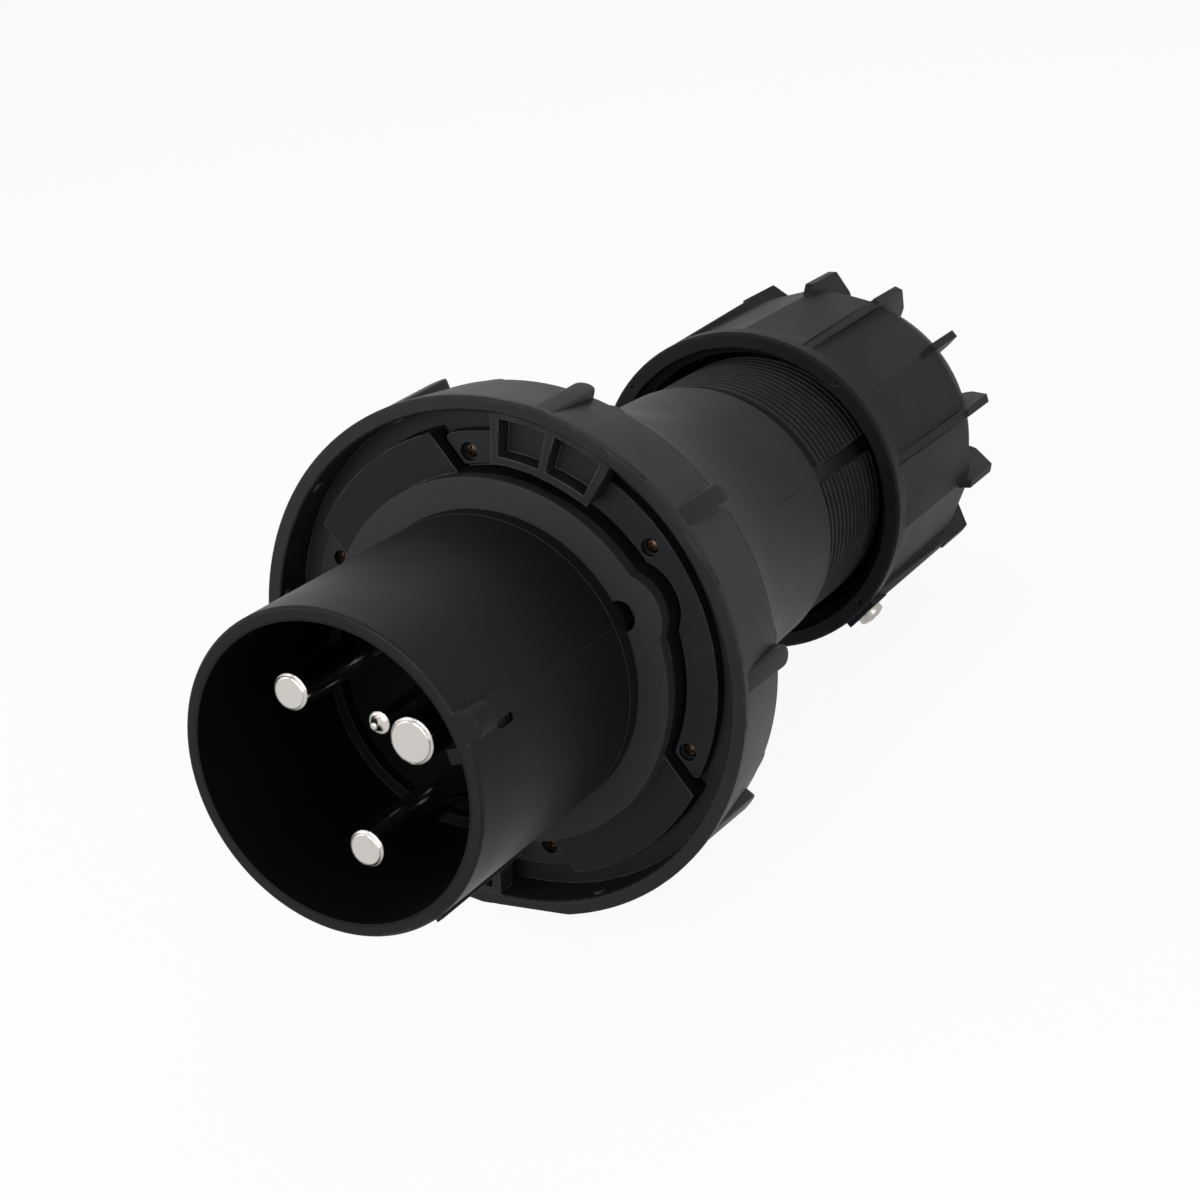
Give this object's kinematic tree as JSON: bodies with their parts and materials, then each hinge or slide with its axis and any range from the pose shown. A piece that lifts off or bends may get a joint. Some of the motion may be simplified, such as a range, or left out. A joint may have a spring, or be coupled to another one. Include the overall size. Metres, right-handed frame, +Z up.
{
  "type": "industrial plug",
  "caption": "Black industrial plug with a round shroud, bright pins, a ribbed locking ring and a finned gland nut.",
  "frame": {"origin": "on the shroud's axis, in the plane of the shroud's rim", "axes": "+Y along the plug's axis from the rim to the gland nut, +Z up as the plug lies"},
  "size_m": [0.1238, 0.273, 0.1238],
  "materials": {
    "black_shell": "satin moulded nylon",
    "black_ring": "satin moulded nylon",
    "black_housing": "satin moulded nylon",
    "black_nut": "satin moulded nylon",
    "black_carrier": "matte moulded nylon",
    "inner_plastic": "matte moulded nylon",
    "grey_gasket": "matte",
    "seal_rubber": "matte",
    "bright_pins": "nickel plated, polished",
    "brass_screws": "yellow passivated",
    "steel_screws": "zinc plated"
  },
  "bodies": {
    "plug_body": {"front_shell": "black_shell", "flange_gasket": "grey_gasket", "retaining_segment_key_side": "black_shell", "retaining_segment_far_side": "black_shell", "segment_screws": "brass_screws", "contact_carrier": "black_carrier", "carrier_cover": "black_carrier", "carrier_screws": "steel_screws", "terminal_screws": "steel_screws", "earth_pin": "bright_pins", "phase_pin_left": "bright_pins", "phase_pin_right": "bright_pins", "pilot_pin": "bright_pins", "rear_housing": "black_housing", "housing_seal": "seal_rubber", "gland_bush": "seal_rubber"},
    "ring_body": {"locking_ring": "black_ring"},
    "sleeve_body": {"clamp_sleeve": "inner_plastic", "slip_washer": "inner_plastic"},
    "nut_body": {"gland_nut": "black_nut", "nut_locking_screw": "steel_screws"}
  },
  "joints": [
    {"name": "ring_turn", "type": "hinge", "parent": "plug_body", "child": "ring_body", "pos_m": [0, 0.0755, 0], "axis": [0, 1, 0], "range_deg": [-16, 82]},
    {"name": "sleeve_slide", "type": "slide", "parent": "plug_body", "child": "sleeve_body", "axis": [0, 1, 0], "range_m": [-0.0101, 0.0021]},
    {"name": "nut_turn", "type": "hinge", "parent": "sleeve_body", "child": "nut_body", "pos_m": [0, 0.2, 0], "axis": [0, 1, 0], "range_deg": [-1800, 360]}
  ],
  "couplings": [
    {"joint": "sleeve_slide", "follows": "nut_turn", "m_per_rad": 0.00031831}
  ]
}
